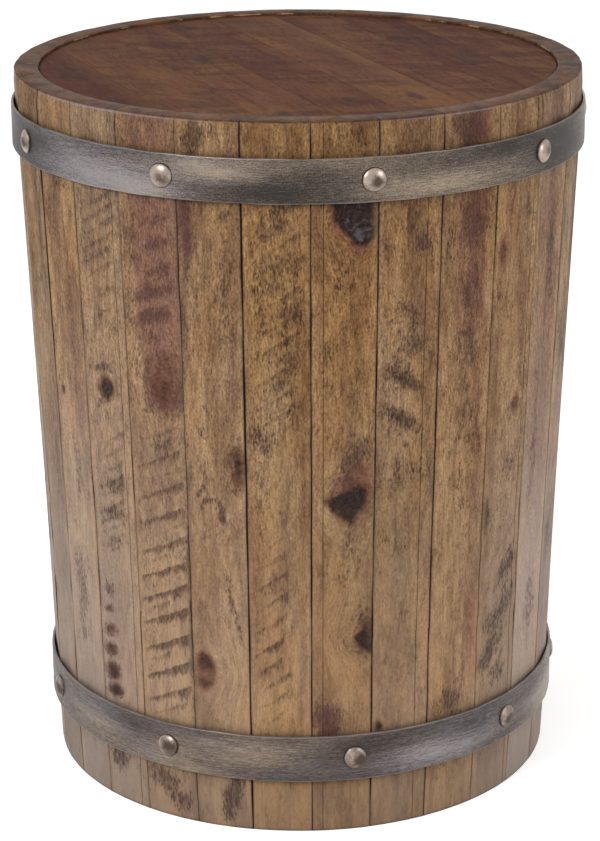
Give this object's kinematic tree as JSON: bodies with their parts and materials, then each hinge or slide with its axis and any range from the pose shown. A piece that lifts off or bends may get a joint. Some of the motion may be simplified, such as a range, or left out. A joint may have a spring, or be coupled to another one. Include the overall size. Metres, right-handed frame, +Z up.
{
  "type": "accent table",
  "caption": "Barrel-shaped wooden side table, wider at the top, with two riveted metal hoops, domed nails and a flat round plank top.",
  "frame": {"origin": "on the floor at the centre of the base", "axes": "+Z up along the table's axis; the pictured front faces -Y and +X is to the viewer's right"},
  "size_m": [0.4863, 0.4854, 0.6096],
  "materials": {
    "stave_wood": "stained and worn, satin",
    "top_wood": "dark stain, satin",
    "plywood": "raw, dull",
    "hoop_metal": "dark pewter, brushed and patchy",
    "nail_metal": "aged bronze, satin",
    "brad_steel": "plain zinc"
  },
  "bodies": {
    "root": {"base_panel": "plywood", "bottom_hoop": "hoop_metal", "bottom_hoop_nails": "nail_metal", "hoop_rivets": "nail_metal", "plank_brads": "brad_steel", "stave_01": "stave_wood", "stave_02": "stave_wood", "stave_03": "stave_wood", "stave_04": "stave_wood", "stave_05": "stave_wood", "stave_06": "stave_wood", "stave_07": "stave_wood", "stave_08": "stave_wood", "stave_09": "stave_wood", "stave_10": "stave_wood", "stave_11": "stave_wood", "stave_12": "stave_wood", "stave_13": "stave_wood", "stave_14": "stave_wood", "stave_15": "stave_wood", "stave_16": "stave_wood", "stave_17": "stave_wood", "stave_18": "stave_wood", "stave_19": "stave_wood", "stave_20": "stave_wood", "stave_21": "stave_wood", "stave_22": "stave_wood", "stave_23": "stave_wood", "stave_24": "stave_wood", "stave_25": "stave_wood", "stave_26": "stave_wood", "stave_27": "stave_wood", "stave_28": "stave_wood", "stave_brads": "brad_steel", "top_hoop": "hoop_metal", "top_hoop_nails": "nail_metal", "top_plank_1": "top_wood", "top_plank_2": "top_wood", "top_plank_3": "top_wood", "top_plank_4": "top_wood", "top_plank_5": "top_wood", "top_plank_6": "top_wood", "top_plank_7": "top_wood", "top_plank_8": "top_wood", "top_support_ring": "plywood"}
  },
  "joints": []
}
